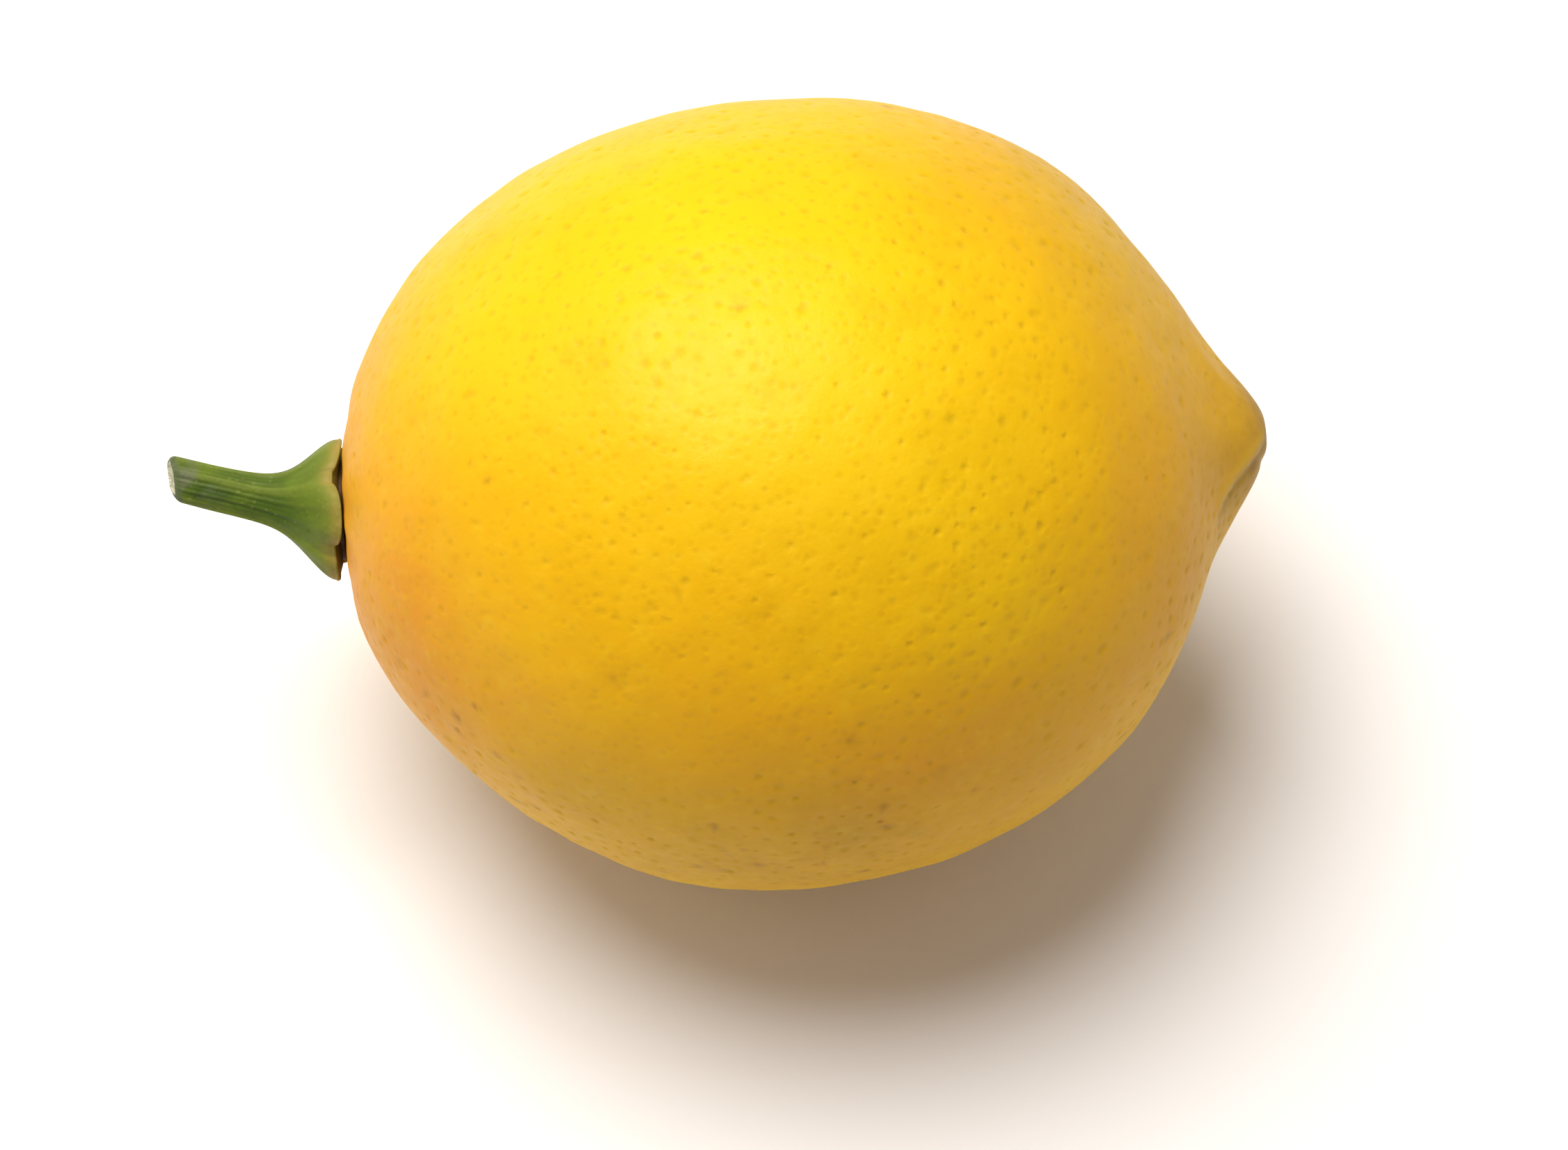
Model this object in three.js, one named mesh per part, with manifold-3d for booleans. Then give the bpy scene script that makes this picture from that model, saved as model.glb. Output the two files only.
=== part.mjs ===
// A whole lemon, as picked, lying on its side on the small flat spot that its weight presses into the peel.
// Millimetres, +Z up. The origin is the centre of the flat spot, below the centre of mass. The fruit lies along X:
// the stem end points to -X and the nipple to +X. It is two pieces: the fruit, and the stem with its calyx.

import * as THREE from "three";
import { mergeVertices } from "three/addons/utils/BufferGeometryUtils.js";
import Module from "manifold-3d";

const { degToRad } = THREE.MathUtils;

// Driving dimensions of the fruit.
const HALF_LENGTH = 32.4; // centre of the body to its stem end, without the nipple
const RADIUS = 29; // half the width across the middle
const FLAT_SPOT_DEPTH = 0.55; // how far the resting spot is pressed in, which makes it about 12 mm across
const CENTRE_HEIGHT = RADIUS - FLAT_SPOT_DEPTH;
const CENTRE_X = -0.1; // moves the body so that the whole balances over the flat spot

// The nipple is a blunt cone whose flanks run into the body.
const NIPPLE_REACH = 36.6; // centre of the body to the tip
const NIPPLE_POLAR = 7.9; // how far the tip leans away from +X, in degrees
const NIPPLE_ROLL = 26; // the side that it leans to, in degrees about +X from +Y towards +Z
const NIPPLE_FLANK = 55; // between the nipple's flank and its own axis, in degrees
const NIPPLE_BLUNTNESS = 4.6; // rounding of the tip, in degrees seen from the centre
const NIPPLE_BLEND = 2.2; // rounding where the flanks meet the body

// Gentle swells and hollows of the body: where they are, how wide they are in degrees, and how high.
const SWELLS = [
  { polar: 62, roll: 26, width: 26, height: 1.25 }, // fuller shoulder beside the nipple
  { polar: 35, roll: 26, width: 16, height: 0.65 }, // the nipple's long back
  { polar: 23, roll: 26, width: 9, height: 0.5 }, // and its upper flank
  { polar: 1, roll: 206, width: 5, height: 0.35 }, // fuller flank on the nipple's other side
  { polar: 75, roll: 206, width: 25, height: -0.3 }, // flatter belly on the nipple's other side
  { polar: 135, roll: 206, width: 22, height: -0.8 }, // hollow below the stem end
  { polar: 10.7, roll: 206, width: 4.2, height: -0.6 }, // furrow at the nipple's foot
  { polar: 178.6, roll: 206, width: 13, height: -0.9 }, // dimple that the calyx sits in
  { polar: 100, roll: 100, width: 30, height: 0.4 }, // slightly full on top
  { polar: 120, roll: 330, width: 28, height: 0.4 }, // and behind, towards the stem
];

// Driving dimensions of the stem and its calyx.
const STEM_LENGTH = 12.95; // peel to the middle of the cut end
const STALK_RADIUS = 1.74;
const STALK_TAPER = 0.02; // radius gained for each millimetre from the cut end back to the calyx
const FLARE = 3.15; // how much wider than the stalk the calyx is
const FLARE_LENGTH = 2.75; // how far along the stem the widening reaches
const FLARE_SHAPE = 1.8; // 1 for a flare that is steepest at the rim, more for a fuller one
const CALYX_LOBES = 5;
const LOBE_DEPTH = 0.08; // how far the lobes stand out and the notches cut in, as a share of the radius
const LOBE_TURN = 24; // where the first lobe points, in degrees from the side that the stem rises to
const CALYX_THICKNESS = 0.5;
const STEM_GAP = 0.3; // clearance between calyx and peel
const STEM_ROLL = 206; // the side of the centre line that the stem end is on
const STEM_POLAR = 178.6;
const STEM_RISE = 2.6; // how far the cut end has curved towards the side opposite STEM_ROLL
const CUT_ROUNDING = 0.55; // softened edge of the cut end
const CUT_SLANT = 0.28; // slope of the cut
const CUT_TURN = 112; // the side that the cut is shortest on, in degrees as LOBE_TURN

const FRUIT_SEGMENTS = 64;
const FRUIT_RINGS = 46;
const STEM_SEGMENTS = 40;

const centre = new THREE.Vector3(CENTRE_X, 0, CENTRE_HEIGHT);

// Unit vector at an angle from +X, rolled about +X from +Y towards +Z. Both are in degrees.
function direction(polar, roll) {
  const p = degToRad(polar);
  const r = degToRad(roll);
  return new THREE.Vector3(Math.cos(p), Math.sin(p) * Math.cos(r), Math.sin(p) * Math.sin(r));
}

const nippleAxis = direction(NIPPLE_POLAR, NIPPLE_ROLL);
const swells = SWELLS.map((s) => ({ ...s, axis: direction(s.polar, s.roll), width: degToRad(s.width) }));

// Distance from the centre to the plain body, an ellipsoid, along unit vector d.
function bodyReach(d) {
  return 1 / Math.hypot(d.x / HALF_LENGTH, Math.sqrt(Math.max(0, 1 - d.x * d.x)) / RADIUS);
}

// Distance from the centre to the nipple's straight flank, at an angle off its axis. The flank is nearest to the
// centre at its foot. Past the foot, the distance goes on falling, as steeply as it fell before.
function flankReach(off) {
  const flank = degToRad(NIPPLE_FLANK);
  const foot = Math.PI / 2 - flank;
  const nearest = NIPPLE_REACH * Math.sin(flank);
  if (off < foot) return nearest / Math.cos(foot - off);
  return nearest * (2 - 1 / Math.cos(Math.min(off - foot, 1)));
}

// Distance from the centre to the nipple along unit vector d, with its tip rounded.
function nippleReach(d) {
  const off = d.angleTo(nippleAxis);
  const round = degToRad(NIPPLE_BLUNTNESS);
  const tipFill = (NIPPLE_REACH - flankReach(round)) * Math.exp(-0.2 * (off / round) ** 2);
  return flankReach(Math.hypot(off, round)) + tipFill;
}

// The larger of two reaches, with a fillet where they are within NIPPLE_BLEND of each other.
function blendedReach(a, b) {
  const near = Math.max(0, 1 - Math.abs(a - b) / NIPPLE_BLEND);
  return Math.max(a, b) + 0.25 * NIPPLE_BLEND * near * near;
}

// Distance from the centre to the peel along unit vector d.
function fruitReach(d) {
  const swelling = swells.reduce((sum, s) => sum + s.height * Math.exp(-((d.angleTo(s.axis) / s.width) ** 2)), 0);
  return blendedReach(bodyReach(d), nippleReach(d)) + swelling;
}

// Moves every vertex of a geometry to where place(vertex) says.
function reshape(geometry, place) {
  const position = geometry.getAttribute("position");
  const v = new THREE.Vector3();
  for (let i = 0; i < position.count; i++) {
    const p = place(v.fromBufferAttribute(position, i));
    position.setXYZ(i, p.x, p.y, p.z);
  }
  return geometry;
}

// The fruit before its flat spot: a sphere with a pole at the nipple, drawn out to the peel.
function wholeFruit() {
  const poleAtNipple = new THREE.Quaternion().setFromUnitVectors(new THREE.Vector3(0, 1, 0), nippleAxis);
  const sphere = new THREE.SphereGeometry(1, FRUIT_SEGMENTS, FRUIT_RINGS).applyQuaternion(poleAtNipple);
  return reshape(sphere, (v) => {
    const d = v.clone().normalize();
    return d.multiplyScalar(fruitReach(d)).add(centre);
  });
}

const wasm = await Module();
wasm.setup();

// A closed three.js geometry as a manifold-3d solid.
function toSolid(geometry) {
  const bare = geometry.clone();
  bare.deleteAttribute("normal");
  bare.deleteAttribute("uv");
  const merged = mergeVertices(bare, 1e-3);
  return new wasm.Manifold(
    new wasm.Mesh({
      numProp: 3,
      vertProperties: merged.getAttribute("position").array,
      triVerts: new Uint32Array(merged.index.array),
    }),
  );
}

// A manifold-3d solid as a three.js geometry.
function toGeometry(solid) {
  const mesh = solid.getMesh();
  const geometry = new THREE.BufferGeometry();
  geometry.setAttribute("position", new THREE.BufferAttribute(mesh.vertProperties, 3));
  geometry.setIndex(new THREE.BufferAttribute(mesh.triVerts, 1));
  geometry.computeVertexNormals();
  return geometry;
}

// The fruit with everything below the surface it lies on cut away, which leaves the flat spot.
function fruitGeometry() {
  const side = 4 * RADIUS;
  const ground = new THREE.BoxGeometry(side, side, side).translate(0, 0, -side / 2);
  return toGeometry(toSolid(wholeFruit()).subtract(toSolid(ground)));
}

// The stem's own directions: outwards from the fruit, and two across.
const stemOut = direction(STEM_POLAR, STEM_ROLL);
const stemRise = direction(90, STEM_ROLL - 180);
const stemSide = new THREE.Vector3().crossVectors(stemRise, stemOut).normalize();

// Half the stem's section, from the middle of the calyx's underside, round its rim and up to the cut end, as
// points of radius and lift above the peel.
function stemProfile() {
  const rim = STALK_RADIUS + STALK_TAPER * STEM_LENGTH + FLARE;
  const points = [0, 0.35, 0.7, 0.95].map((share) => new THREE.Vector2(share * rim, STEM_GAP));
  points.push(new THREE.Vector2(rim, STEM_GAP + 0.12));
  const shoulder = STEM_GAP + CALYX_THICKNESS;
  const end = STEM_LENGTH - CUT_ROUNDING;
  const steps = 16;
  for (let i = 0; i <= steps; i++) {
    const lift = shoulder + (end - shoulder) * (i / steps) ** 1.3;
    const flare = FLARE * Math.exp(-(((lift - shoulder) / FLARE_LENGTH) ** FLARE_SHAPE));
    points.push(new THREE.Vector2(STALK_RADIUS + STALK_TAPER * (STEM_LENGTH - lift) + flare, lift));
  }
  for (const turn of [30, 60]) {
    const radius = STALK_RADIUS - CUT_ROUNDING * (1 - Math.cos(degToRad(turn)));
    points.push(new THREE.Vector2(radius, end + CUT_ROUNDING * Math.sin(degToRad(turn))));
  }
  points.push(new THREE.Vector2(STALK_RADIUS - CUT_ROUNDING, STEM_LENGTH), new THREE.Vector2(0, STEM_LENGTH));
  return points;
}

// The stem: a lathe whose foot is laid on the peel, lobed round the calyx and curved along the stalk.
function stemGeometry() {
  const lathe = new THREE.LatheGeometry(stemProfile(), STEM_SEGMENTS);
  return reshape(lathe, (v) => {
    const turn = Math.atan2(v.z, v.x);
    const nearCut = THREE.MathUtils.smoothstep(v.y, STEM_LENGTH - 3, STEM_LENGTH - CUT_ROUNDING);
    const lift = v.y - CUT_SLANT * Math.hypot(v.x, v.z) * Math.cos(turn - degToRad(CUT_TURN)) * nearCut;
    const lobeTurn = CALYX_LOBES * (turn - degToRad(LOBE_TURN));
    const lobes = LOBE_DEPTH * Math.cos(lobeTurn) * Math.exp(-((lift / FLARE_LENGTH) ** 2));
    const radius = Math.hypot(v.x, v.z) * (1 + lobes);
    const across = stemRise
      .clone()
      .multiplyScalar(radius * Math.cos(turn))
      .addScaledVector(stemSide, radius * Math.sin(turn));
    const d = stemOut.clone().multiplyScalar(HALF_LENGTH).add(across).normalize();
    const curve = STEM_RISE * (lift / STEM_LENGTH) ** 1.4;
    return d
      .clone()
      .multiplyScalar(fruitReach(d))
      .add(centre)
      .addScaledVector(stemOut, lift)
      .addScaledVector(stemRise, curve);
  });
}

const peel = new THREE.MeshStandardMaterial({ color: "#f2c21c", roughness: 0.42, metalness: 0 });
const stalk = new THREE.MeshStandardMaterial({ color: "#5f7a33", roughness: 0.65, metalness: 0 });

const fruit = new THREE.Mesh(fruitGeometry(), peel);
fruit.name = "fruit";
const stem = new THREE.Mesh(stemGeometry(), stalk);
stem.name = "stem_with_calyx";

const lemon = new THREE.Group();
lemon.add(fruit, stem);

export default lemon;
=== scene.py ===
"""A whole lemon with its stem, lying on its side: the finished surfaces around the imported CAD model.

The peel is a mesh with rings of vertices round every oil gland, so that the glands are real pits. The stem is
a fine mesh with ribs, five sepals and a cut end. Lengths are in millimetres until a mesh is made.
"""

import math

import bpy
import numpy as np
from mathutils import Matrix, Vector
from mathutils.geometry import delaunay_2d_cdt
from mathutils.kdtree import KDTree


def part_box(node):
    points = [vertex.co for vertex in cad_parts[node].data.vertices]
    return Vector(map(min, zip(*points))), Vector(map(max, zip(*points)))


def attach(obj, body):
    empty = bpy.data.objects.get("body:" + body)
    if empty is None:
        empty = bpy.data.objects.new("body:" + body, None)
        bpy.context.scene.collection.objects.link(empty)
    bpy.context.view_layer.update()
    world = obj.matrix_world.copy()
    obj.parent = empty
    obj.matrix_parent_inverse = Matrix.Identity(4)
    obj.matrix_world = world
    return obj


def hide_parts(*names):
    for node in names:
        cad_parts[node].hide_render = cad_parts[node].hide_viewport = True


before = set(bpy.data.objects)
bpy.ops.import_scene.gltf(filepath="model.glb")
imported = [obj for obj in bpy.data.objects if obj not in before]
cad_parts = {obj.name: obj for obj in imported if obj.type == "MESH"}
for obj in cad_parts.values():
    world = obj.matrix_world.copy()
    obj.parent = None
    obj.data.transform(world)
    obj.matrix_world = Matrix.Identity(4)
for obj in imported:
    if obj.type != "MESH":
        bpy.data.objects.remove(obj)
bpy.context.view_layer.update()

MM = 0.001
rng = np.random.default_rng(7)

# The fruit's shape: the part's driving dimensions.
HALF_LENGTH = 32.4
RADIUS = 29.0
NIPPLE_REACH = 36.6
NIPPLE_POLAR = 7.9
NIPPLE_ROLL = 26.0
NIPPLE_FLANK = 55.0
NIPPLE_BLUNTNESS = 4.6
NIPPLE_BLEND = 2.2
TIP_FALL = 0.2  # how gently the rounding of the tip fades
SWELLS = [  # polar angle, roll, width in degrees, height
    (62, 26, 26, 1.25),
    (35, 26, 16, 0.65),
    (23, 26, 9, 0.5),
    (1, 206, 5, 0.35),
    (75, 206, 25, -0.3),
    (135, 206, 22, -0.8),
    (10.7, 206, 4.2, -0.6),
    (178.6, 206, 13, -0.9),
    (100, 100, 30, 0.4),
    (120, 330, 28, 0.4),
]
STEM_POLAR = 178.6
STEM_ROLL = 206.0


# ---------------------------------------------------------------- directions and the peel's smooth shape


def unit(v):
    """v, or each row of it, at length 1."""
    v = np.asarray(v, float)
    return v / np.linalg.norm(v, axis=-1, keepdims=True)


def direction(polar, roll):
    """Unit vector at an angle from +X, rolled about +X from +Y towards +Z. Both are in degrees."""
    p, r = math.radians(polar), math.radians(roll)
    return np.array([math.cos(p), math.sin(p) * math.cos(r), math.sin(p) * math.sin(r)])


def angle_to(d, axis):
    """Angle in radians between each row of d and a unit axis."""
    return np.arccos(np.clip(d @ axis, -1, 1))


def hill(x, width, middle=0.0):
    """1 at the middle, falling smoothly on both sides to a third at one width from it."""
    return np.exp(-(((x - middle) / width) ** 2))


def smooth(x, low, high):
    """0 below low, 1 above high, and a smooth step between."""
    t = np.clip((x - low) / (high - low), 0, 1)
    return t * t * (3 - 2 * t)


NIPPLE_AXIS = direction(NIPPLE_POLAR, NIPPLE_ROLL)
STEM_OUT = direction(STEM_POLAR, STEM_ROLL)
STEM_RISE = direction(90, STEM_ROLL - 180)
STEM_SIDE = unit(np.cross(STEM_RISE, STEM_OUT))


def turned_about(d, axis, towards):
    """Turn in radians of each row of d about an axis, counted from the direction towards."""
    first = unit(towards - (towards @ axis) * axis)
    second = np.cross(axis, first)
    return np.arctan2(d @ second, d @ first)


def flank_reach(off):
    """Distance from the centre to the nipple's straight flank, at an angle off its axis."""
    flank = math.radians(NIPPLE_FLANK)
    foot = math.pi / 2 - flank
    nearest = NIPPLE_REACH * math.sin(flank)
    before = nearest / np.cos(np.clip(foot - off, 0, foot))
    after = nearest * (2 - 1 / np.cos(np.clip(off - foot, 0, 1)))
    return np.where(off < foot, before, after)


def fruit_reach(d):
    """Distance from the centre to the smooth peel along each unit vector."""
    across = np.sqrt(np.clip(1 - d[:, 0] ** 2, 0, 1))
    body = 1 / np.hypot(d[:, 0] / HALF_LENGTH, across / RADIUS)
    off = angle_to(d, NIPPLE_AXIS)
    blunt = math.radians(NIPPLE_BLUNTNESS)
    tip_fill = (NIPPLE_REACH - flank_reach(np.array(blunt))) * np.exp(-TIP_FALL * (off / blunt) ** 2)
    nipple = flank_reach(np.hypot(off, blunt)) + tip_fill
    near = np.clip(1 - np.abs(body - nipple) / NIPPLE_BLEND, 0, None)
    reach = np.maximum(body, nipple) + 0.25 * NIPPLE_BLEND * near**2
    for polar, roll, width, height in SWELLS:
        reach += height * hill(angle_to(d, direction(polar, roll)), math.radians(width))
    return reach


def waves(d, wavelength, count=14):
    """Smooth seeded noise over directions, from about -1 to 1, with about that wavelength in millimetres."""
    total = np.zeros(len(d))
    for _ in range(count):
        way = unit(rng.normal(size=3)) * 2 * math.pi * RADIUS / (wavelength * rng.uniform(0.75, 1.35))
        total += np.sin(d @ way + rng.uniform(0, 2 * math.pi))
    return total / math.sqrt(count)


# ---------------------------------------------------------------- the glands, and a mesh round them

GLANDS = 4600
GLAND_RADIUS = 0.36
GLAND_DEPTH = 0.085
SIZE_SPREAD = 0.28  # of the glands' radii, as the sigma of a log-normal spread
MOST_OF_SPACING = 0.36  # the largest radius, as a share of the distance to the next gland
CLOSER_AT_NIPPLE = [(15, 1.3), (9, 7)]  # width in degrees, and how many more glands, as a share
CLOSER_AT_STEM = [(16, 0.5)]
SPACING_SLACK = 1.07  # how far apart the glands are pushed, over the even spacing
SCATTER = 0.42  # first random shift, as a share of the spacing
PUSH_ROUNDS = 6
NEIGHBOURS = 6
GOLDEN_TURN = math.pi * (3 - math.sqrt(5))
RINGS = (0.45, 0.85, 1.3)  # of the gland's radius
RING_LIFT = (-0.72, -0.22, 0.1)  # of the gland's depth; the centre is at -1
RING_MARK = (0.85, 0.35, 0.0)  # how dark the rings are; the centre is 1
INNER_RING_LIMIT = 0.16  # how far out the rings may lie, as a share of the distance to the next gland
OUTER_RING_LIMIT = 0.46


def gland_density(off):
    """How close the glands lie at an angle in radians off the nipple's axis; 1 is the plain peel."""
    density = np.ones_like(off)
    for width, extra in CLOSER_AT_NIPPLE:
        density += extra * hill(off, math.radians(width))
    for width, extra in CLOSER_AT_STEM:
        density += extra * hill(math.pi - off, math.radians(width))
    return density


def gland_directions():
    """Irregular directions of the oil glands from the fruit's centre, and the spacing there in radians."""
    off = np.linspace(0, math.pi, 4001)
    density = gland_density(off)
    total = np.cumsum(density * np.sin(off))
    share = (np.arange(GLANDS) + 0.5) / GLANDS
    polar = np.interp(share, total / total[-1], off)
    turn = np.arange(GLANDS) * GOLDEN_TURN
    first = unit(np.cross(NIPPLE_AXIS, [0, 0, 1]))
    second = np.cross(NIPPLE_AXIS, first)
    around = np.cos(turn)[:, None] * first + np.sin(turn)[:, None] * second
    d = np.cos(polar)[:, None] * NIPPLE_AXIS + np.sin(polar)[:, None] * around
    spacing = np.sqrt(4 * math.pi / GLANDS / np.interp(polar, off, density)) * SPACING_SLACK
    d = unit(d + rng.normal(size=d.shape) * SCATTER * spacing[:, None])
    for _ in range(PUSH_ROUNDS):
        d = unit(d + 0.5 * push_apart(d, spacing))
    return d, spacing


def push_apart(d, spacing):
    """How far each direction moves to get away from its nearest neighbours."""
    tree = KDTree(len(d))
    for i, v in enumerate(d):
        tree.insert(v, i)
    tree.balance()
    near = np.array([[found[1] for found in tree.find_n(v, NEIGHBOURS + 1)][1:] for v in d])
    gap = d[:, None, :] - d[near]
    distance = np.linalg.norm(gap, axis=2)
    lack = np.clip(spacing[:, None] - distance, 0, None)
    return (gap / distance[:, :, None] * lack[:, :, None]).sum(axis=1) * 0.5


def triangulated(d):
    """Delaunay triangles over directions, by a stereographic projection from the first one."""
    pole = d[0]
    first = unit(np.cross(pole, [0, 0, 1]))
    second = np.cross(pole, first)
    rest = d[1:]
    scale = 1 / (1 - rest @ pole)
    flat = [Vector((x, y)) for x, y in zip((rest @ first) * scale, (rest @ second) * scale)]
    faces = np.array(delaunay_2d_cdt(flat, [], [], 0, 1e-9)[2]) + 1
    edges = faces[:, [0, 1, 1, 2, 2, 0]].reshape(-1, 2)
    known = {(a, b) for a, b in edges}
    outer = np.array([(b, a, 0) for a, b in edges if (b, a) not in known])
    faces = np.vstack([faces, outer])
    a, b, c = d[faces[:, 0]], d[faces[:, 1]], d[faces[:, 2]]
    inward = np.einsum("ij,ij->i", np.cross(b - a, c - a), a + b + c) < 0
    faces[inward] = faces[inward][:, ::-1]
    return faces


def ring_mesh(d, faces, radius):
    """Rings of vertices round every gland, joined up, with a vertex between the glands of each triangle.

    Gives the vertices' directions, the gland and the ring of each, and the faces. A vertex between glands has
    the gland -1, and ring 0 is a gland's own centre.
    """
    count = len(d)
    start = faces.reshape(-1)
    ahead = faces[:, [1, 2, 0]].reshape(-1)
    behind = faces[:, [2, 0, 1]].reshape(-1)
    pairs = np.concatenate([start * count + ahead, start * count + behind])
    keys, number = np.unique(pairs, return_inverse=True)
    number = number.reshape(-1)
    from_, to = keys // count, keys % count
    span = np.arccos(np.clip(np.einsum("ij,ij->i", d[from_], d[to]), -1, 1))
    aim = unit(d[to] - np.einsum("ij,ij->i", d[from_], d[to])[:, None] * d[from_])
    points, gland, ring = [d], [np.arange(count)], [np.zeros(count, int)]
    for k, share in enumerate(RINGS):
        most = span * (INNER_RING_LIMIT + (OUTER_RING_LIMIT - INNER_RING_LIMIT) * k / (len(RINGS) - 1))
        turn = np.minimum(share * radius[from_], most)[:, None]
        points.append(d[from_] * np.cos(turn) + aim * np.sin(turn))
        gland.append(from_)
        ring.append(np.full(len(from_), k + 1))
    middles = unit(d[faces].sum(axis=1))
    points.append(middles)
    gland.append(np.full(len(middles), -1))
    ring.append(np.zeros(len(middles), int))

    corners = len(start)
    one, two = number[:corners], number[corners:]
    levels = [(count + k * len(keys) + one, count + k * len(keys) + two) for k in range(len(RINGS))]
    made = [np.stack([start, levels[0][0], levels[0][1]], axis=1)]
    for (a, b), (c, e) in zip(levels, levels[1:]):
        made.append(np.stack([a, c, e], axis=1))
        made.append(np.stack([a, e, b], axis=1))
    middle = count + len(RINGS) * len(keys) + np.repeat(np.arange(len(faces)), 3)
    a, b = levels[-1]
    made.append(np.stack([b, a, middle], axis=1))
    following = b.reshape(-1, 3)[:, [1, 2, 0]].reshape(-1)
    made.append(np.stack([a, following, middle], axis=1))
    return np.vstack(points), np.concatenate(gland), np.concatenate(ring), np.vstack(made)


# ---------------------------------------------------------------- marks on the peel

FOLD_TURN = 160.0  # where the nipple's fold runs, in degrees about its axis as the roll is counted
FOLD_SLANT = 0.8  # degrees that the fold turns for each degree down the nipple
FOLD_WIDTH = 0.48
FOLD_DEPTH = 0.13
LIP_HEIGHT = 0.1
LIP_WIDTH = 0.55
LIP_ABOVE = 0.95  # from the middle of the fold to the middle of its lip
BELOW_TURN = 195.0  # the underside of the nipple, counted as FOLD_TURN
SCAR_WIDTH = 1.3  # of the small scar at the tip, in degrees


def nipple_turn(d):
    """Turn about the nipple's axis in degrees, on the same scale as a roll about +X."""
    return (np.degrees(turned_about(d, NIPPLE_AXIS, direction(90, 0))) + 360) % 360


def beside_fold(d):
    """Distance in millimetres beside the fold, positive towards the floor, and the fold's strength there."""
    off = np.degrees(angle_to(d, NIPPLE_AXIS))
    turn = nipple_turn(d) - FOLD_TURN - FOLD_SLANT * (off - 8)
    aside = np.radians((turn + 180) % 360 - 180) * np.sin(np.radians(off)) * NIPPLE_REACH
    return aside, smooth(off, 1.5, 4) * (1 - smooth(off, 11, 16))


def fold_mark(d):
    """1 along the fold that runs down the nipple's side, falling to 0 beside it."""
    aside, there = beside_fold(d)
    return there * hill(aside, FOLD_WIDTH)


def fold_lip(d):
    """1 along the rounded lip above the fold."""
    aside, there = beside_fold(d)
    return there * hill(aside, LIP_WIDTH, -LIP_ABOVE)


def shade_below_fold(d):
    """1 on the nipple's side below the fold, which faces away from the light; its darker colour is painted
    shade.
    """
    aside, there = beside_fold(d)
    return there * smooth(aside, -0.4, 0.5) * (1 - smooth(aside, 0.8, 3.6))


def nipple_relief(d):
    """Height of the nipple's fold, its lip, the creases round it, the scar and the groove below the tip."""
    off = np.degrees(angle_to(d, NIPPLE_AXIS))
    creases = np.cos(np.radians(9 * nipple_turn(d)) + 2.2 * waves(d, 14))
    below = hill((nipple_turn(d) - BELOW_TURN + 180) % 360 - 180, 45)
    relief = LIP_HEIGHT * fold_lip(d) - FOLD_DEPTH * fold_mark(d)
    relief += 0.06 * creases * hill(off, 4.5, 11)
    relief -= 0.2 * hill(off, SCAR_WIDTH)
    relief -= 0.13 * below * hill(off, 0.7, 3.6)
    return relief


def stem_end_relief(d):
    """Height of the ten soft ribs in the peel round the calyx."""
    around = turned_about(d, STEM_OUT, STEM_RISE)
    from_stem = np.degrees(angle_to(d, STEM_OUT))
    return 0.07 * np.cos(10 * around + 1.5 * waves(d, 20)) * hill(from_stem, 5, 13)


def peel_relief(d):
    """Height of the larger unevenness of the peel, in millimetres: nowhere much above 0."""
    uneven = 0.06 * waves(d, 9) + 0.025 * waves(d, 3.5) - 0.06
    return uneven + nipple_relief(d) + stem_end_relief(d)


# Zones of the peel: polar angle, roll, width in degrees and strength.
ORANGE = [  # the warmer yellow
    (168, 165, 30, 0.8),
    (150, 180, 24, 0.45),
    (140, 134, 18, 0.42),
    (98, 145, 22, 0.35),
    (62, 60, 22, 0.22),
    (72, 164, 16, 0.4),
    (52, 165, 26, 0.35),
    (25, 120, 22, 0.45),
]
PALE_AND_GLOW = [  # the greener, lighter yellow, with a painted glow of light round the highlight
    (115, 45, 42, 0.38),
    (85, 85, 30, 0.65),
    # these two lie at the highlight and just below it: a painted glow of light
    (78, 104, 16, 0.3),
    (95, 108, 14, 0.3),
    (57, 135, 14, 0.5),
    (136, 98, 20, 0.4),
    (60, 280, 40, 0.5),
]
DULL_AND_SHADE = [  # the browner, duller yellow, most of it towards the floor, where it is partly painted shade
    (98, 190, 24, 0.6),
    (66, 182, 24, 0.65),
    (84, 171, 13, 0.35),
    (117, 171, 13, 0.3),
    (146, 146, 14, 0.2),
    (48, 44, 20, 0.55),
]
FLECKED = [  # where there are brown flecks
    (97, 179, 7, 1.0),
    (74, 163, 9, 0.3),
    (95, 195, 16, 0.3),
    (140, 185, 18, 0.1),
]
FLECKS = 90
FLECK_SIZE = (0.16, 0.42)  # smallest and largest radius
FLECK_ANYWHERE = 0.01  # the strength outside the zones


def zone(d, places):
    """Adds up zones and keeps the sum between 0 and 1."""
    total = np.zeros(len(d))
    for polar, roll, width, strength in places:
        total += strength * hill(angle_to(d, direction(polar, roll)), math.radians(width))
    return np.clip(total, 0, 1)


def flecks(d):
    """Small dark flecks of random size and darkness, most of them in the flecked zones."""
    wanted = []
    while len(wanted) < FLECKS:
        spot = unit(rng.normal(size=3))
        if rng.uniform() < FLECK_ANYWHERE + zone(spot[None], FLECKED)[0]:
            wanted.append(spot)
    total = np.zeros(len(d))
    for spot in wanted:
        size = rng.uniform(*FLECK_SIZE) / RADIUS
        total = np.maximum(total, rng.uniform(0.35, 1) * hill(angle_to(d, spot), size))
    return total


# ---------------------------------------------------------------- making meshes


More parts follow.
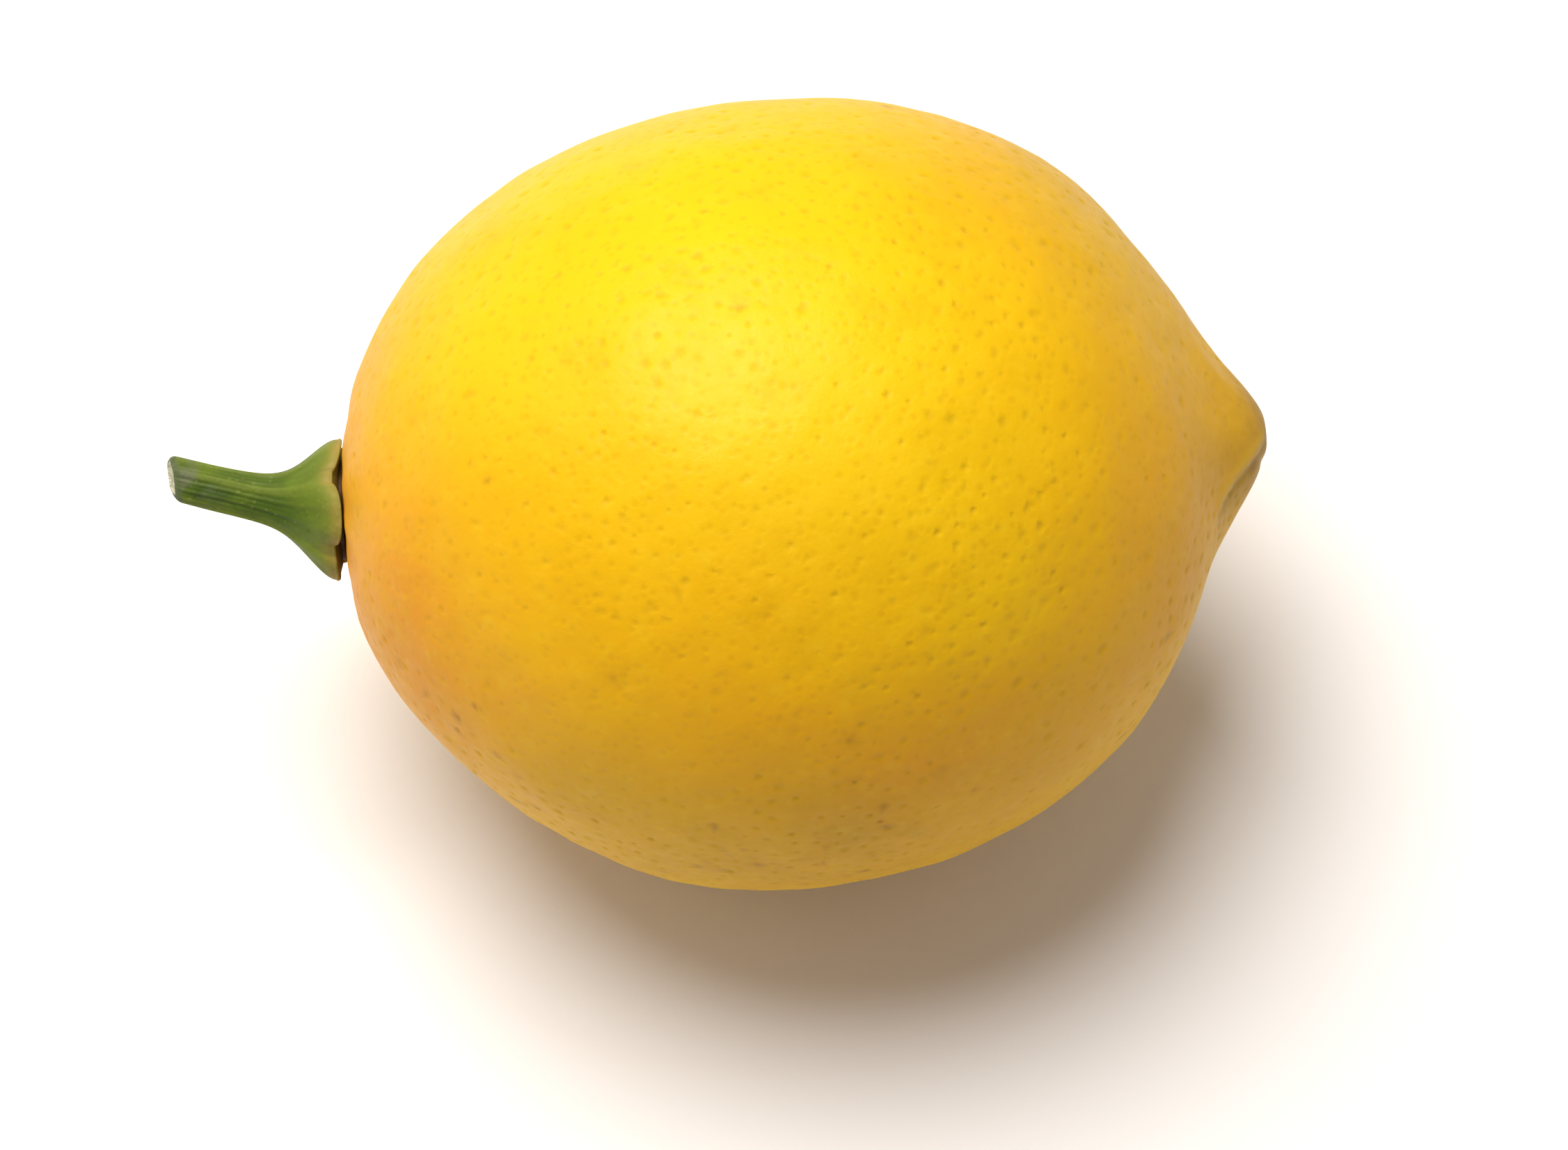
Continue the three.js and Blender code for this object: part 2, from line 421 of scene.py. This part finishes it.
def mesh_object(name, points, faces, marks, material):
    """A smooth-shaded mesh object from points in millimetres, with one float attribute for each mark."""
    mesh = bpy.data.meshes.new(name)
    mesh.from_pydata((np.asarray(points) * MM).tolist(), [], np.asarray(faces).tolist())
    for mark, values in marks.items():
        attribute = mesh.attributes.new(mark, "FLOAT", "POINT")
        attribute.data.foreach_set("value", np.asarray(values, np.float32))
    mesh.polygons.foreach_set("use_smooth", [True] * len(mesh.polygons))
    mesh.materials.append(material)
    mesh.update()
    made = bpy.data.objects.new(name, mesh)
    bpy.context.scene.collection.objects.link(made)
    return made


def body_centre():
    """The centre that the peel's distances are counted from, so that the peel fills the CAD fruit's box."""
    low, high = (np.array(corner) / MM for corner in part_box("fruit"))
    count = 20000
    z = 1 - 2 * (np.arange(count) + 0.5) / count
    turn = np.arange(count) * GOLDEN_TURN
    d = np.stack([z, np.sqrt(1 - z * z) * np.cos(turn), np.sqrt(1 - z * z) * np.sin(turn)], axis=1)
    shape = d * fruit_reach(d)[:, None]
    centre = (low + high - shape.min(axis=0) - shape.max(axis=0)) / 2
    centre[2] = high[2] - shape[:, 2].max()
    return centre


CENTRE = body_centre()


def gland_vigour(d):
    """How deep and dark each gland is. It differs by area, and many glands on the nipple are left out."""
    vigour = np.clip(0.55 + 0.3 * waves(d, 22) + rng.normal(size=len(d)) * 0.3, 0.03, 1.5)
    share_kept = 1 - 0.7 * hill(np.degrees(angle_to(d, NIPPLE_AXIS)), 11)
    vigour[rng.uniform(size=len(d)) > share_kept] = 0
    return vigour


def make_fruit(material):
    """The whole fruit, with glands, unevenness and the flat spot that it lies on."""
    d, spacing = gland_directions()
    size = rng.lognormal(0, SIZE_SPREAD, len(d))
    vigour = gland_vigour(d)
    radius = np.minimum(GLAND_RADIUS * size / RADIUS, MOST_OF_SPACING * spacing)
    faces = triangulated(d)
    points, gland, ring, faces = ring_mesh(d, faces, radius)
    lift = np.array((-1.0,) + RING_LIFT)[ring]
    mark = np.array((1.0,) + RING_MARK)[ring]
    own = gland >= 0
    shallow = np.minimum(1, radius * RADIUS / GLAND_RADIUS) ** 1.5
    pit = np.where(own, lift * (vigour * shallow)[gland], 0)
    pore = np.where(own, mark * vigour[gland], 0)
    reach = fruit_reach(points) + peel_relief(points) + GLAND_DEPTH * pit
    place = points * reach[:, None] + CENTRE
    place[:, 2] = np.maximum(place[:, 2], 0)
    from_tip = np.degrees(angle_to(points, NIPPLE_AXIS))
    from_stem = np.degrees(angle_to(points, STEM_OUT))
    marks = {
        "pore": np.clip(pore, 0, 1.4),
        "orange": zone(points, ORANGE),
        "pale": zone(points, PALE_AND_GLOW),
        "dull_and_shade": zone(points, DULL_AND_SHADE),
        "fold": fold_mark(points),
        "lip": fold_lip(points),
        "shade_below_fold": shade_below_fold(points),
        "tip": hill(from_tip, 7),
        "nipple": hill(from_tip, 17),
        "scar": hill(from_tip, SCAR_WIDTH),
        "near_stem": hill(from_stem, 12),
        "fleck": flecks(points),
    }
    return mesh_object("lemon_fruit", place, faces, marks, material)


# ---------------------------------------------------------------- the stem and its calyx

STEM_LENGTH = 12.85  # a little less than the part's, because the slanted cut and its fibres stand out
STALK_RADIUS = 1.74
STALK_TAPER = 0.02
FLARE = 3.15
FLARE_LENGTH = 2.75
FLARE_SHAPE = 1.8
CUT_ROUNDING = 0.5
CUT_SLANT = 0.28
CUT_TURN = 112.0
STEM_BEND = 2.6
STEM_TURNS = 220
RIB_INSET = 0.1  # how much thinner the stalk is between its ribs
BARK_END = STEM_LENGTH - CUT_ROUNDING
CALYX_RADIUS = STALK_RADIUS + STALK_TAPER * STEM_LENGTH + FLARE * 0.82  # in the notches between the sepals
SEPAL_REACH = 0.85  # how far a sepal of length 1 reaches past the notches
SEPAL_THICKNESS = 0.26
DISC_SHARE = 0.8  # of the calyx's radius: the disc that joins it to the fruit, coloured dark brown as painted shade under the sepals
DISC_FOOT = 0.03  # clearance between the disc and the peel
DISC_TOP = 0.35
SEPALS = [  # turn in degrees, length as a share of SEPAL_REACH, half width in degrees, curl off the peel
    (24, 1.0, 30, 0.25),
    (97, 0.92, 31, 0.05),
    (170, 1.08, 28, 1.5),
    (241, 0.95, 32, 0.1),
    (312, 1.02, 30, 0.3),
]
RIB_TURNS = [24, 68, 150, 241, 312]
RIB_HEIGHT = 0.2
RIB_WIDTH = 0.26  # in radians


def aside_from(turn, middle):
    """Turn in radians counted from the middle, between half a turn back and half a turn on."""
    return (turn - middle + math.pi) % (2 * math.pi) - math.pi


def sepal_shape(turn):
    """How far the calyx reaches out at each turn, from 0 in a notch to about 1 at a tip, and its curl."""
    reach = np.zeros_like(turn)
    curl = np.zeros_like(turn)
    for at, length, half, rise in SEPALS:
        aside = np.abs(aside_from(turn, math.radians(at))) / math.radians(half)
        lobe = np.clip(1 - aside**2.2, 0, 1) ** 0.7
        reach = np.maximum(reach, length * lobe)
        curl = np.maximum(curl, rise * lobe)
    return reach, curl


def ribs(turn, lift):
    """Height of the long ribs that run from the sepals up the stalk, and of the finer lines between them."""
    total = np.zeros_like(turn)
    for at in RIB_TURNS:
        drift = math.radians(at) + 0.05 * np.sin(lift * 0.5 + at)
        total += RIB_HEIGHT * hill(aside_from(turn, drift), RIB_WIDTH)
    wide = np.sin(17 * turn + 0.8 * np.sin(lift * 0.9))
    narrow = 0.7 * np.sin(29 * turn + 1.1 * np.sin(lift * 0.6 + 2))
    return total + 0.028 * (wide + narrow)


TURN = np.linspace(0, 2 * math.pi, STEM_TURNS, endpoint=False)
SEPAL, CURL = sepal_shape(TURN)
RIM = CALYX_RADIUS + SEPAL_REACH * SEPAL + 0.05 * np.sin(13 * TURN + 1)
DISC = DISC_SHARE * CALYX_RADIUS + 0.12 * np.sin(7 * TURN)
EDGE_LIFT = 0.06 + 0.5 * CURL + 0.7 * (1 - np.clip(SEPAL, 0, 1))  # the notches are higher than the tips


# Each row function gives the radius and the lift above the peel all round the stem, at a share of its
# stretch, and the marks that it sets. The mark under is painted shade, dark brown, on the disc and the
# sepals' backs.


def under_row(share):
    """The disc's underside, from the middle out."""
    return share * DISC, DISC_FOOT, {"under": 1.0}


def disc_row(share):
    """The disc's side, from the peel up."""
    radius = DISC * (1 + 0.03 * math.sin(share * math.pi))
    return radius, DISC_FOOT + share * (DISC_TOP - DISC_FOOT), {"under": 1.0}


def sepal_back_row(share):
    """The back of the sepals, from the disc out to their edge."""
    lift = DISC_TOP + (EDGE_LIFT - DISC_TOP) * smooth(np.array(share), 0, 1)
    return DISC + share * (RIM - DISC), lift, {"under": 1 - 0.7 * share, "rim": share}


def edge_row(share):
    """The edge of the sepals, from their back to their front."""
    return RIM + 0.08 * math.sin(share * math.pi), EDGE_LIFT + SEPAL_THICKNESS * share, {"rim": 1.0}


def skin_row(share):
    """The outside of the calyx and the stalk, from the sepals' edge to the cut end."""
    climb = share**1.35
    lift = EDGE_LIFT + SEPAL_THICKNESS + climb * (BARK_END - EDGE_LIFT - SEPAL_THICKNESS)
    flare = np.exp(-((climb * (BARK_END - 0.5) / FLARE_LENGTH) ** FLARE_SHAPE))
    stalk = STALK_RADIUS + STALK_TAPER * (STEM_LENGTH - lift)
    height = ribs(TURN, lift)
    radius = stalk + (RIM - stalk) * flare
    radius = radius + height * (0.35 + 0.65 * (1 - flare)) * smooth(np.array(share), 0, 0.12)
    radius = radius - RIB_INSET * (1 - flare)
    return radius, lift, {"rim": hill(share, 0.12), "rib": np.clip(height / 0.22, 0, 1)}


def bark_edge_row(share):
    """The rounded edge of the bark round the cut end, from the stalk inwards."""
    angle = share * math.pi / 2
    lift = BARK_END + CUT_ROUNDING * math.sin(angle)
    radius = STALK_RADIUS - RIB_INSET + ribs(TURN, lift) - CUT_ROUNDING * (1 - math.cos(angle))
    return radius, lift, {"bark": 1 - share / 2, "cut": 0.6 * share}


def cut_row(share):
    """The fibrous cut end with its sunken pith, from share 0.93 at the bark to 0 in the middle."""
    outer = STALK_RADIUS - RIB_INSET - CUT_ROUNDING + 0.9 * ribs(TURN, STEM_LENGTH)
    fibres = 0.035 * np.sin(31 * TURN + 9 * share) * share
    dish = 0.16 * smooth(np.array(share), 0.95, 0.8) + 0.22 * smooth(np.array(share), 0.42, 0.28)
    return outer * share / 0.93, STEM_LENGTH - dish + fibres, {"cut": 1.0}


STEM_STRETCHES = [  # from the middle of the calyx's underside to the middle of the cut end
    (under_row, (0.0, 0.25, 0.5, 0.75, 0.92, 1.0)),
    (disc_row, (0.25, 0.6, 1.0)),
    (sepal_back_row, np.linspace(0.15, 1.0, 7)),
    (edge_row, (0.2, 0.5, 0.8)),
    (skin_row, np.linspace(0, 1, 90)),
    (bark_edge_row, (2 / 9, 0.5, 7 / 9, 1.0)),
    (cut_row, (0.93, 0.86, 0.8, 0.7, 0.6, 0.5, 0.42, 0.36, 0.3, 0.2, 0.1, 0.0)),
]


def stem_place(radius, lift):
    """Places of one row of the stem: laid on the peel, bent along the stalk and slanted at the cut."""
    near_cut = smooth(lift, STEM_LENGTH - 3, BARK_END)
    lift = lift - CUT_SLANT * radius * np.cos(TURN - math.radians(CUT_TURN)) * near_cut
    across = radius[:, None] * (np.cos(TURN)[:, None] * STEM_RISE + np.sin(TURN)[:, None] * STEM_SIDE)
    d = unit(STEM_OUT * HALF_LENGTH + across)
    bend = STEM_BEND * (np.clip(lift, 0, None) / STEM_LENGTH) ** 1.4
    place = d * fruit_reach(d)[:, None] + lift[:, None] * STEM_OUT + bend[:, None] * STEM_RISE
    return place, lift


def lathe_faces(rows, columns):
    """Triangles over rows of vertices that go round, where the first row and the last are one vertex each."""
    between = 1 + np.arange((rows - 2) * columns).reshape(rows - 2, columns)
    first = np.zeros((1, columns), int)
    last = np.full((1, columns), 1 + (rows - 2) * columns)
    number = np.vstack([first, between, last])
    here, above = number[:-1], number[1:]
    beside, beside_above = np.roll(here, -1, axis=1), np.roll(above, -1, axis=1)
    faces = np.stack([here, above, beside_above, here, beside_above, beside], axis=-1).reshape(-1, 3)
    thin = (faces == np.roll(faces, 1, axis=1)).any(axis=1)
    return faces[~thin]


def make_stem(material):
    """The stalk with its ribs, the calyx with five sepals over a disc painted dark brown as shade, and the
    cut end.
    """
    places = []
    marks = {"under": [], "rim": [], "cut": [], "rib": [], "bark": [], "high": []}
    for row, shares in STEM_STRETCHES:
        for share in shares:
            radius, lift, row_marks = row(share)
            place, lift = stem_place(radius, lift + 0 * TURN)
            places.append(place)
            row_marks["high"] = lift / STEM_LENGTH
            for name, values in marks.items():
                values.append(row_marks.get(name, 0.0) + 0 * TURN)
    kept = slice(STEM_TURNS - 1, 1 - STEM_TURNS)  # one vertex of the first row, and one of the last
    points = np.vstack(places)[kept] + CENTRE
    marks = {name: np.concatenate(values)[kept] for name, values in marks.items()}
    return mesh_object("lemon_stem", points, lathe_faces(len(places), STEM_TURNS), marks, material)


# ---------------------------------------------------------------- materials


class Nodes:
    """A material's node tree with short calls for the nodes used here."""

    def __init__(self, name):
        self.material = bpy.data.materials.new(name)
        self.material.use_nodes = True
        self.tree = self.material.node_tree
        self.shader = self.tree.nodes["Principled BSDF"]
        self.place = self.add("ShaderNodeTexCoord").outputs["Object"]

    def add(self, kind, **settings):
        """A new node with some of its settings."""
        node = self.tree.nodes.new(kind)
        for key, value in settings.items():
            setattr(node, key, value)
        return node

    def join(self, source, socket):
        """Links a socket, or sets a plain value."""
        if isinstance(source, bpy.types.NodeSocket):
            self.tree.links.new(source, socket)
        else:
            socket.default_value = source

    def mark(self, name):
        """The mesh's float attribute of that name."""
        return self.add("ShaderNodeAttribute", attribute_name=name).outputs["Fac"]

    def noise(self, size, detail, roughness=0.55):
        """Noise from 0 to 1, with spots of about that size in millimetres."""
        node = self.add("ShaderNodeTexNoise")
        self.join(self.place, node.inputs["Vector"])
        node.inputs["Scale"].default_value = 0.5 / (size * MM)
        node.inputs["Detail"].default_value = detail
        node.inputs["Roughness"].default_value = roughness
        return node.outputs["Fac"]

    def cells(self, size):
        """Distance to the middle of the nearest of random cells of about that size in millimetres."""
        node = self.add("ShaderNodeTexVoronoi", feature="F1")
        self.join(self.place, node.inputs["Vector"])
        node.inputs["Scale"].default_value = 1 / (size * MM)
        return node.outputs["Distance"]

    def math(self, operation, a, b, clamp=False):
        """A math node over two sockets or plain values."""
        node = self.add("ShaderNodeMath", operation=operation, use_clamp=clamp)
        self.join(a, node.inputs[0])
        self.join(b, node.inputs[1])
        return node.outputs[0]

    def times(self, a, b):
        """The product of two sockets or plain values, kept between 0 and 1."""
        return self.math("MULTIPLY", a, b, clamp=True)

    def ramp(self, value, low, high, out_low=0.0, out_high=1.0):
        """Maps low..high to out_low..out_high, clamped, with a smooth step."""
        node = self.add("ShaderNodeMapRange", interpolation_type="SMOOTHSTEP")
        self.join(value, node.inputs["Value"])
        for key, number in (("From Min", low), ("From Max", high), ("To Min", out_low), ("To Max", out_high)):
            node.inputs[key].default_value = number
        return node.outputs["Result"]

    def mix(self, share, a, b):
        """Colour a, with colour b laid over it by share."""
        node = self.add("ShaderNodeMix", data_type="RGBA")
        self.join(share, node.inputs["Factor"])
        self.join(a, node.inputs[6])
        self.join(b, node.inputs[7])
        return node.outputs[2]

    def bump(self, height, distance, strength, under=None):
        """A normal bumped by a height of 0 to 1 times a distance in millimetres, over another if given."""
        node = self.add("ShaderNodeBump")
        self.join(height, node.inputs["Height"])
        node.inputs["Distance"].default_value = distance * MM
        node.inputs["Strength"].default_value = strength
        if under is not None:
            self.join(under, node.inputs["Normal"])
        return node.outputs["Normal"]


def linear(level):
    """An sRGB level of 0 to 255 as a linear one of 0 to 1."""
    share = level / 255
    return share / 12.92 if share <= 0.04045 else ((share + 0.055) / 1.055) ** 2.4


def colour(red, green, blue):
    """An sRGB colour, each 0 to 255, as a linear one."""
    return (linear(red), linear(green), linear(blue), 1.0)


FINE_GLANDS = 0.95  # spacing of the smallest glands, which are only in the material


def peel_material():
    """Waxy yellow peel: warmer, paler and duller zones, fine spots, darker glands and a few brown flecks,
    with painted shade towards the floor, in the nipple's fold and below it, and painted light round the
    highlight and on the fold's lip.
    """
    n = Nodes("peel")
    base = n.mix(n.ramp(n.noise(9, 4), 0.35, 0.7), colour(232, 184, 6), colour(228, 177, 3))
    # partly painted highlight: paler round the highlight, and the peel's own greener patches elsewhere
    base = n.mix(n.times(n.mark("pale"), 0.85), base, colour(237, 201, 8))
    broken = n.ramp(n.noise(5, 5, 0.6), 0.25, 0.75, 0.55, 1.15)
    base = n.mix(n.times(n.mark("orange"), broken), base, colour(232, 152, 18))
    broken = n.ramp(n.noise(3.5, 5, 0.65), 0.3, 0.7, 0.55, 1.1)
    # partly painted shade: a darker, browner yellow towards the floor, laid over the peel's own duller
    # patches
    base = n.mix(n.times(n.mark("dull_and_shade"), broken), base, colour(203, 154, 8))
    base = n.mix(n.ramp(n.noise(2.2, 4, 0.65), 0.5, 0.75, 0, 0.36), base, colour(220, 168, 4))
    base = n.mix(n.ramp(n.noise(0.7, 3), 0.5, 0.8, 0, 0.2), base, colour(240, 206, 40))
    base = n.mix(n.ramp(n.cells(FINE_GLANDS), 0.1, 0.38, 0.2, 0), base, colour(204, 150, 4))
    base = n.mix(n.times(n.mark("pore"), 0.24), base, colour(172, 140, 16))
    base = n.mix(n.times(n.mark("near_stem"), 0.35), base, colour(222, 150, 62))
    patchy = n.ramp(n.noise(2.4, 4), 0.3, 0.7, 0.25, 0.85)
    base = n.mix(n.times(n.mark("nipple"), patchy), base, colour(203, 150, 16))
    patchy = n.ramp(n.noise(1.6, 4), 0.3, 0.7, 0.45, 0.95)
    base = n.mix(n.times(n.mark("tip"), patchy), base, colour(156, 120, 32))
    # painted highlight: the ridge of the lip above the fold is lightened as if lit
    base = n.mix(n.times(n.mark("lip"), 0.5), base, colour(222, 180, 62))
    # painted shade: the nipple's side below the fold is darkened because it faces away from the light
    base = n.mix(n.times(n.mark("shade_below_fold"), 0.45), base, colour(178, 142, 44))
    # painted shade: the fold's crease is darkened where shade falls in it
    base = n.mix(n.times(n.mark("fold"), 0.45), base, colour(146, 116, 30))
    base = n.mix(n.times(n.mark("scar"), 0.75), base, colour(104, 72, 30))
    base = n.mix(n.times(n.mark("fleck"), 0.62), base, colour(134, 88, 28))
    n.join(base, n.shader.inputs["Base Color"])
    rough = n.ramp(n.noise(0.6, 4), 0.2, 0.8, 0.4, 0.52)
    n.join(n.math("ADD", rough, n.times(n.mark("pore"), 0.1)), n.shader.inputs["Roughness"])
    n.shader.inputs["Specular IOR Level"].default_value = 0.17
    n.shader.inputs["Subsurface Weight"].default_value = 0.12
    n.shader.inputs["Subsurface Radius"].default_value = (1.0, 0.55, 0.12)
    n.shader.inputs["Subsurface Scale"].default_value = 1.6 * MM
    fine = n.bump(n.noise(0.35, 4, 0.65), 0.045, 0.8)
    glands = n.bump(n.ramp(n.cells(FINE_GLANDS), 0.05, 0.5), 0.03, 0.7, under=fine)
    n.join(glands, n.shader.inputs["Normal"])
    return n.material


def stem_material():
    """Green bark with pale ribs, dry tan sepal edges, painted dark brown shade on the disc and the sepals'
    backs below, and a pale fibrous cut end.
    """
    n = Nodes("stem_green")
    base = n.mix(n.ramp(n.noise(1.3, 4), 0.35, 0.7), colour(60, 84, 10), colour(84, 106, 14))
    base = n.mix(n.ramp(n.noise(0.5, 3), 0.55, 0.75, 0, 0.5), base, colour(42, 60, 12))
    low = n.ramp(n.mark("high"), 0.04, 0.4, 1, 0)
    base = n.mix(n.times(low, 0.6), base, colour(106, 124, 18))
    base = n.mix(n.times(n.mark("rib"), 0.4), base, colour(130, 145, 48))
    grey = n.times(n.ramp(n.mark("high"), 0.62, 0.95), n.ramp(n.noise(0.9, 4), 0.4, 0.65))
    base = n.mix(n.times(grey, 0.8), base, colour(104, 108, 84))
    base = n.mix(n.ramp(n.cells(0.8), 0.08, 0.24, 0.28, 0), base, colour(138, 142, 72))
    dry = n.times(n.mark("rim"), n.ramp(n.noise(0.8, 4), 0.3, 0.6, 0.45, 1))
    base = n.mix(dry, base, colour(152, 134, 62))
    # painted shade: the calyx's disc and the backs of its sepals, dark brown where shade falls under them
    base = n.mix(n.mark("under"), base, colour(70, 44, 18))
    wood = n.mix(n.ramp(n.noise(0.25, 4), 0.35, 0.7), colour(214, 212, 186), colour(170, 168, 136))
    base = n.mix(n.mark("bark"), base, colour(88, 98, 60))
    base = n.mix(n.ramp(n.mark("cut"), 0.55, 0.9), base, wood)
    n.join(base, n.shader.inputs["Base Color"])
    n.join(n.ramp(n.noise(0.5, 4), 0.2, 0.8, 0.52, 0.72), n.shader.inputs["Roughness"])
    n.shader.inputs["Specular IOR Level"].default_value = 0.27
    n.shader.inputs["Subsurface Weight"].default_value = 0.05
    n.shader.inputs["Subsurface Radius"].default_value = (0.4, 0.8, 0.2)
    n.shader.inputs["Subsurface Scale"].default_value = 0.6 * MM
    fine = n.bump(n.noise(0.22, 5, 0.65), 0.05, 0.8)
    warts = n.bump(n.ramp(n.cells(0.55), 0.1, 0.4, 1, 0), 0.04, 0.6, under=fine)
    n.join(warts, n.shader.inputs["Normal"])
    return n.material


def floor_material():
    """Plain pale paper."""
    n = Nodes("floor")
    base = n.mix(n.ramp(n.noise(40, 2), 0.3, 0.7), (0.91, 0.9, 0.9, 1), (0.895, 0.885, 0.885, 1))
    n.join(base, n.shader.inputs["Base Color"])
    n.shader.inputs["Roughness"].default_value = 0.75
    n.shader.inputs["Specular IOR Level"].default_value = 0.2
    return n.material


# ---------------------------------------------------------------- floor, light and camera

# Lengths here are in metres, apart from the lens and the sensor, which are in millimetres.
FLOOR_SIZE = 6.0
FLOOR_HEIGHT = -0.00002  # just under the flat spot, so that the two faces don't coincide
ELEVATION = 64.0
LENS = 150.0
SENSOR = 36.0
FRAME_WIDTH = 0.1152  # what the frame's width covers at the fruit
AIM_RIGHT = 0.0007  # from the fruit's centre to the frame's centre
AIM_DOWN = 0.0056
CLIP_START = 0.01
CLIP_END = 20


def make_floor():
    """The floor, as staging that isn't part of the fruit."""
    half = FLOOR_SIZE / 2
    corners = [(-half, -half), (half, -half), (half, half), (-half, half)]
    mesh = bpy.data.meshes.new("floor")
    mesh.from_pydata([(x, y, FLOOR_HEIGHT) for x, y in corners], [], [(0, 1, 2, 3)])
    mesh.materials.append(floor_material())
    floor = bpy.data.objects.new("floor", mesh)
    bpy.context.scene.collection.objects.link(floor)


def add_area(name, towards, distance, size, power, tint):
    """A round soft light, aimed at the fruit from a direction."""
    data = bpy.data.lights.new(name, "AREA")
    data.shape = "DISK"
    data.size = size
    data.energy = power
    data.color = tint
    light = bpy.data.objects.new(name, data)
    aim = Vector(CENTRE * MM)
    way = Vector(towards).normalized()
    light.location = aim + way * distance
    light.rotation_euler = way.to_track_quat("Z", "Y").to_euler()
    bpy.context.scene.collection.objects.link(light)


def make_lights():
    """A large light almost overhead, a weak one from the left, and an even pale world."""
    add_area("key", (-0.2, 0.22, 0.955), 0.7, 0.5, 6.5, (1.0, 0.975, 0.93))
    add_area("side", (-0.75, 0.3, 0.55), 0.9, 0.6, 0.8, (1.0, 0.95, 0.88))
    world = bpy.data.worlds.new("studio")
    world.use_nodes = True
    background = world.node_tree.nodes["Background"]
    background.inputs["Color"].default_value = (1.0, 0.915, 0.9, 1)
    background.inputs["Strength"].default_value = 0.285
    bpy.context.scene.world = world


def make_camera():
    """The camera, in front of the fruit and looking down at it."""
    data = bpy.data.cameras.new("camera")
    data.lens = LENS
    data.sensor_width = SENSOR
    data.clip_start = CLIP_START
    data.clip_end = CLIP_END
    camera = bpy.data.objects.new("camera", data)
    tilt = math.radians(ELEVATION)
    back = Vector((0, -math.cos(tilt), math.sin(tilt)))
    up = Vector((0, math.sin(tilt), math.cos(tilt)))
    aim = Vector(CENTRE * MM) + Vector((AIM_RIGHT, 0, 0)) - up * AIM_DOWN
    camera.location = aim + back * (FRAME_WIDTH * LENS / SENSOR)
    camera.rotation_euler = (math.radians(90 - ELEVATION), 0, 0)
    bpy.context.scene.collection.objects.link(camera)
    bpy.context.scene.camera = camera


make_camera()
make_lights()
make_floor()

fruit = make_fruit(peel_material())
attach(fruit, "root")
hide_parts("fruit")

stem = make_stem(stem_material())
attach(stem, "root")
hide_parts("stem_with_calyx")

bpy.context.scene.view_settings.view_transform = "Standard"
